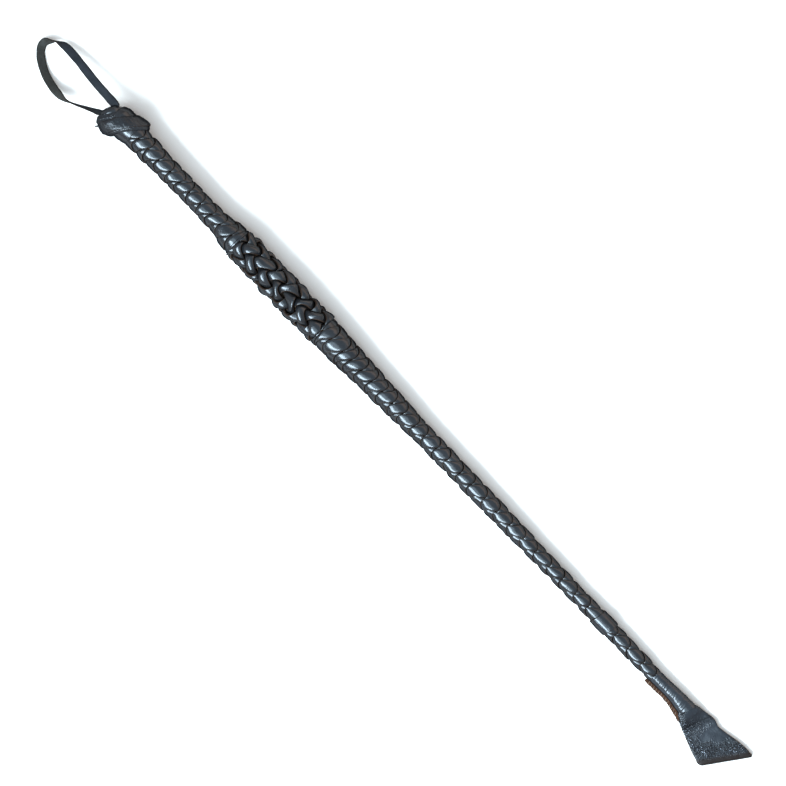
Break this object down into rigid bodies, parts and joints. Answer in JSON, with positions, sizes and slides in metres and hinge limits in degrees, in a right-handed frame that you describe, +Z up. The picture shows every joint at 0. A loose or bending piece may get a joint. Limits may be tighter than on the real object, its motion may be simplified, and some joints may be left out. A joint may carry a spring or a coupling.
{
  "type": "riding crop",
  "caption": "Plaited black leather riding crop with a coarse plaited grip, a knotted butt with a wrist loop, and a slanted folded flap at the tip.",
  "frame": {"origin": "middle of the object's box on the surface it lies on", "axes": "+X from the wrist loop to the flap, +Y across, +Z up from the surface it lies on"},
  "size_m": [0.6887, 0.034, 0.0285],
  "materials": {
    "rod": "satin fibreglass rod",
    "filler": "raw tan filler wrap",
    "thread": "waxed dark thread",
    "lace_leather": "glossy black leather lace",
    "strap_leather": "matt black leather strap",
    "flap_leather": "pebbled black leather"
  },
  "bodies": {
    "crop": {"core_rod": "rod", "handle_filler": "filler", "grip_filler": "filler", "shaft_filler": "filler", "knot_foundation": "filler", "butt_whipping": "thread", "tip_whipping": "thread", "handle_lace_1": "lace_leather", "handle_lace_2": "lace_leather", "handle_lace_3": "lace_leather", "handle_lace_4": "lace_leather", "grip_lace_1": "lace_leather", "grip_lace_2": "lace_leather", "grip_lace_3": "lace_leather", "grip_lace_4": "lace_leather", "grip_lace_5": "lace_leather", "grip_lace_6": "lace_leather", "grip_lace_7": "lace_leather", "grip_lace_8": "lace_leather", "shaft_lace_1": "lace_leather", "shaft_lace_2": "lace_leather", "shaft_lace_3": "lace_leather", "shaft_lace_4": "lace_leather", "grip_collar": "lace_leather", "tip_band": "lace_leather", "knot_band": "lace_leather", "knot_edge_lace": "lace_leather", "knot_tail": "lace_leather", "loop_wrap": "lace_leather", "loop_end_upper": "strap_leather", "loop_end_lower": "strap_leather", "sleeve": "flap_leather", "sleeve_stitching": "thread", "flap_root": "flap_leather"},
    "loop": {"wrist_loop": "strap_leather"},
    "flap": {"flap": "flap_leather"}
  },
  "joints": [
    {"name": "loop_swing", "type": "hinge", "parent": "crop", "child": "loop", "pos_m": [-0.27995, 0.0038, 0.01577], "axis": [0, 1, 0], "range_deg": [-75, 75]},
    {"name": "flap_bend", "type": "hinge", "parent": "crop", "child": "flap", "pos_m": [0.3029, 0.0026, 0.00165], "axis": [-0.3584, -0.9336, 0], "range_deg": [-60, 60], "stiffness_Nm_per_rad": 0.12}
  ]
}
